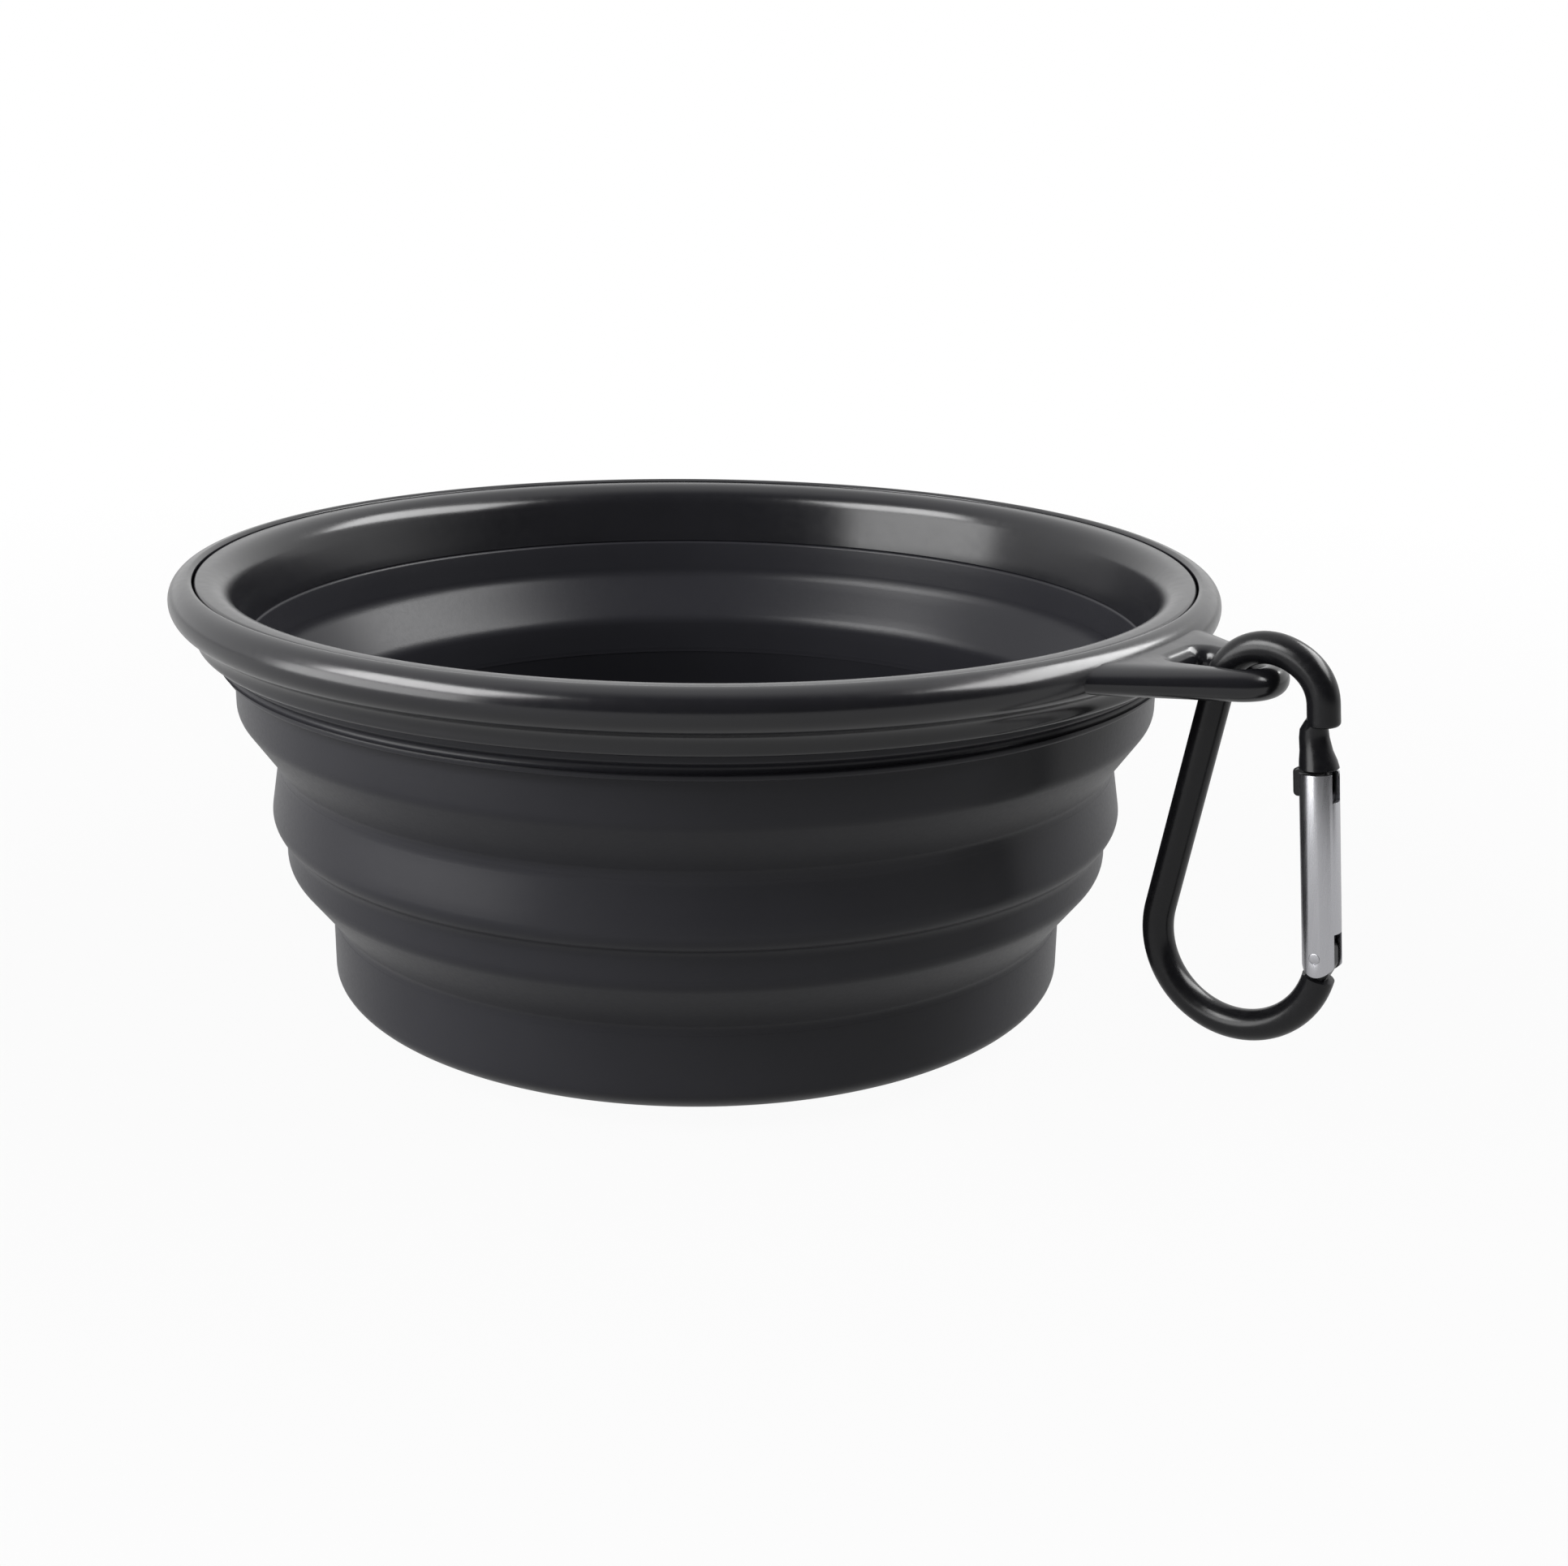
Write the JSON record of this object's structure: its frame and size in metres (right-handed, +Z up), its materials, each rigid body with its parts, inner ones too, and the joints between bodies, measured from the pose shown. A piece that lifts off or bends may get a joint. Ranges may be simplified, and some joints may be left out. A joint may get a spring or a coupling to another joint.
{
  "type": "collapsible pet bowl",
  "caption": "Round travel bowl of soft rubber that folds flat in stepped rings, with a hard two-part rim, a side lug and a hanging spring-gate carabiner.",
  "frame": {"origin": "on the floor under the middle of the base", "axes": "+Z up along the bowl's axis, +X towards the lug that carries the carabiner"},
  "size_m": [0.1536, 0.13, 0.0596],
  "materials": {
    "soft_rubber": "satin moulded thermoplastic rubber, charcoal grey",
    "rim_plastic": "glossy moulded polypropylene, charcoal grey",
    "black_aluminium": "gloss black anodised",
    "bright_aluminium": "satin, bare",
    "steel": "plain drawn steel"
  },
  "bodies": {
    "base": {"base_cup": "soft_rubber", "lower_fold": "soft_rubber"},
    "middle": {"middle_wall": "soft_rubber", "upper_fold": "soft_rubber"},
    "rim": {"upper_wall": "soft_rubber", "rim_ring": "rim_plastic", "inner_rim_ring": "rim_plastic"},
    "carabiner": {"carabiner_body": "black_aluminium", "gate_hinge_pin": "steel"},
    "gate": {"carabiner_gate": "bright_aluminium", "gate_spring": "steel", "spring_plunger": "steel"}
  },
  "joints": [
    {"name": "lower_collapse", "type": "slide", "parent": "base", "child": "middle", "axis": [0, 0, -1], "range_m": [0, 0.017], "deforming": ["lower_fold"]},
    {"name": "upper_collapse", "type": "slide", "parent": "middle", "child": "rim", "axis": [0, 0, -1], "range_m": [0, 0.018], "deforming": ["upper_fold"]},
    {"name": "carabiner_swing", "type": "hinge", "parent": "rim", "child": "carabiner", "pos_m": [0.07785, 0, 0.0541], "axis": [0, -1, 0], "range_deg": [-10, 120]},
    {"name": "gate_hinge", "type": "hinge", "parent": "carabiner", "child": "gate", "pos_m": [0.08653, 0, 0.02557], "axis": [0, -1, 0], "range_deg": [0, 28], "stiffness_Nm_per_rad": 0.01, "springref_deg": -17.19}
  ]
}
